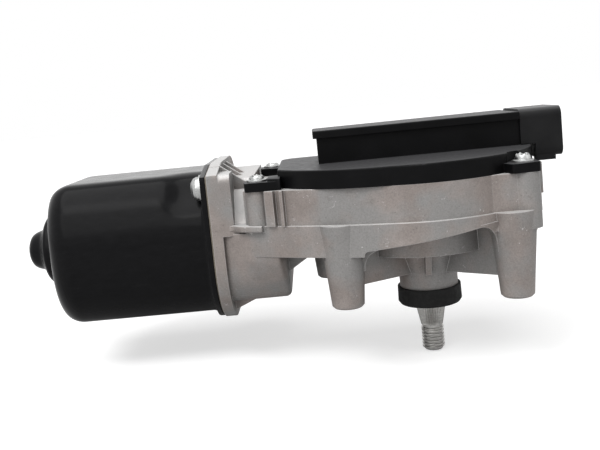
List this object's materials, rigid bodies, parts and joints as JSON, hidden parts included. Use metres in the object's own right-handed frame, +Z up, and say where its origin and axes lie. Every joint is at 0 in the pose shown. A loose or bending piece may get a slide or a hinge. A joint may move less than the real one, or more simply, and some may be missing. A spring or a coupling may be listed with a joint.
{
  "type": "wiper motor",
  "caption": "Electric wiper motor: flat-sided steel can, worm gearbox in a cast housing with threaded posts, plastic cover with connector, serrated output shaft.",
  "frame": {"origin": "where the output shaft's axis meets the plane of the mounting post faces", "axes": "+X from the motor can towards the connector along the motor's axis direction, +Y away from the side with the near mounting posts, +Z up, with the output shaft's threaded end pointing to -Z"},
  "size_m": [0.1999, 0.1, 0.0838],
  "materials": {
    "can_paint": "black semi-gloss paint on drawn steel",
    "cast_aluminium": "as-cast, matt, with a fine grain",
    "black_moulding": "matt black moulded plastic",
    "connector_moulding": "dark satin moulded plastic",
    "black_rubber": "matt",
    "zinc": "bright zinc plate",
    "ground_steel": "turned and ground",
    "bronze": "sintered, oiled",
    "copper": "enamelled wire and bars",
    "tinned_brass": "tinned",
    "ferrite": "dull grey ceramic",
    "lamination_steel": "stacked sheet edge",
    "carbon": "pressed carbon and copper",
    "brown_moulding": "brown phenolic",
    "natural_moulding": "off-white acetal",
    "gasket_paper": "compressed fibre sheet",
    "board_green": "coated circuit board",
    "spring_steel": "spring temper"
  },
  "bodies": {
    "housing": {"motor_can": "can_paint", "can_end_bush": "bronze", "bush_spring": "spring_steel", "magnet_near": "ferrite", "magnet_far": "ferrite", "magnet_springs": "spring_steel", "front_bearing": "ground_steel", "bearing_clip": "spring_steel", "worm_bush": "bronze", "thrust_button": "ground_steel", "end_play_screw": "zinc", "brush_card": "brown_moulding", "brush_boxes": "tinned_brass", "brush_low_speed": "carbon", "brush_high_speed": "carbon", "brush_common": "carbon", "brush_springs": "spring_steel", "chokes": "ferrite", "flange_gasket": "gasket_paper", "flange_screws": "zinc", "flange_washers": "zinc", "gear_housing": "cast_aluminium", "output_bush_upper": "bronze", "output_bush_lower": "bronze", "shaft_seal": "black_rubber", "boss_seal": "black_rubber", "gearbox_cover": "black_moulding", "cover_gasket": "black_rubber", "box_lid": "black_moulding", "circuit_board": "board_green", "board_relay": "black_moulding", "board_capacitors": "spring_steel", "connector_shell": "connector_moulding", "connector_terminals": "tinned_brass", "park_contacts": "tinned_brass", "contact_carrier": "brown_moulding", "cover_screws": "zinc"},
    "armature": {"armature_shaft": "ground_steel", "armature_core": "lamination_steel", "armature_windings": "copper", "commutator": "copper"},
    "output": {"output_shaft": "ground_steel", "worm_wheel": "natural_moulding", "wheel_hub": "ground_steel", "park_disc": "tinned_brass", "thrust_washer_upper": "ground_steel", "thrust_washer_lower": "ground_steel", "circlip": "spring_steel"}
  },
  "joints": [
    {"name": "armature_spin", "type": "hinge", "parent": "housing", "child": "armature", "pos_m": [-0.06, 0.025, 0.0205], "axis": [1, 0, 0], "continuous": true},
    {"name": "output_spin", "type": "hinge", "parent": "housing", "child": "output", "pos_m": [0, 0, 0], "axis": [0, 0, 1], "continuous": true}
  ],
  "couplings": [
    {"joint": "output_spin", "follows": "armature_spin", "ratio": 0.02381}
  ]
}
